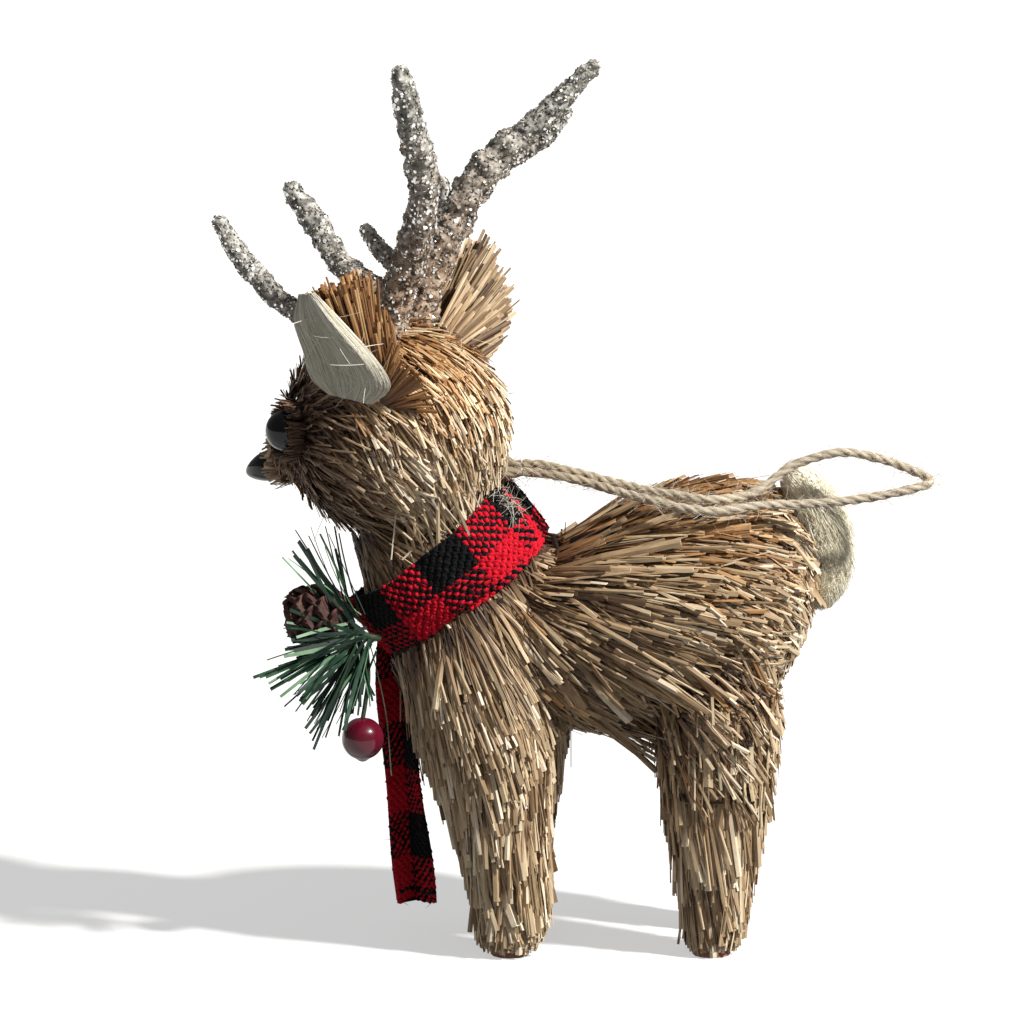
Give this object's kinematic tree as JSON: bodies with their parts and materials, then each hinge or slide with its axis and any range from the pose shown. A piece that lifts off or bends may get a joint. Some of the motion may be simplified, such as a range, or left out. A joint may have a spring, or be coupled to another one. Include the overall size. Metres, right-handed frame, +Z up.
{
  "type": "straw reindeer hanging ornament",
  "caption": "Straw-coated reindeer figure on foam and dowel cores, with glittered antlers, bead eyes, plaid scarf, pine sprig and a twine hanging loop.",
  "frame": {"origin": "on the floor under the middle of the figure's box, measured without the twine loop; the four feet stand on Z = 0", "axes": "+X from nose to tail, +Y to the animal's right side, +Z up"},
  "size_m": [0.1357, 0.0605, 0.1733],
  "materials": {
    "foam": "white expanded foam",
    "body_straw": "dried straw chips, tan with dark gaps",
    "head_straw": "dried straw chips, darker on the face and golden behind",
    "ear_straw": "long orange-brown straw strips",
    "leg_core": "rolled red-brown craft paper",
    "dowel": "bare wooden dowel",
    "sisal": "combed cream sisal fibre",
    "bead": "glossy black bead",
    "glitter": "silver and champagne glitter over grey",
    "plaid": "red and black check knit",
    "wire": "dark green floral wire",
    "needles": "green plastic pine needles, paler at the tips",
    "cone": "dark brown natural cone scales",
    "berry": "glossy crimson lacquer",
    "twine": "two-ply jute twine with loose hairs"
  },
  "bodies": {
    "figure": {"torso_core": "foam", "torso_straw": "body_straw", "front_left_leg_core": "leg_core", "front_right_leg_core": "leg_core", "back_left_leg_core": "leg_core", "back_right_leg_core": "leg_core", "front_left_leg_straw": "body_straw", "front_right_leg_straw": "body_straw", "back_left_leg_straw": "body_straw", "back_right_leg_straw": "body_straw", "neck_dowel": "dowel", "neck_straw": "body_straw", "chest_straw": "body_straw", "tail_puff": "sisal", "head_core": "foam", "head_straw": "head_straw", "left_eye": "bead", "right_eye": "bead", "nose": "bead", "left_antler": "glitter", "right_antler": "glitter", "left_ear_straw": "ear_straw", "right_ear_straw": "ear_straw", "left_ear_lining": "sisal", "right_ear_lining": "sisal", "scarf_band": "plaid", "sprig_stem": "wire", "pine_needles": "needles", "pine_cone": "cone", "berry_stem": "wire", "berry": "berry", "loop_knot": "twine"},
    "scarf_drop": {"scarf_end": "plaid"},
    "hanger": {"hanging_loop": "twine"}
  },
  "joints": [
    {"name": "loop_swing", "type": "hinge", "parent": "figure", "child": "hanger", "pos_m": [-0.0016, -0.0036, 0.0932], "axis": [0, -1, 0], "range_deg": [0, 85]},
    {"name": "scarf_swing", "type": "hinge", "parent": "figure", "child": "scarf_drop", "pos_m": [-0.0234, 0.0008, 0.0533], "axis": [0, 1, 0], "range_deg": [0, 70]}
  ]
}
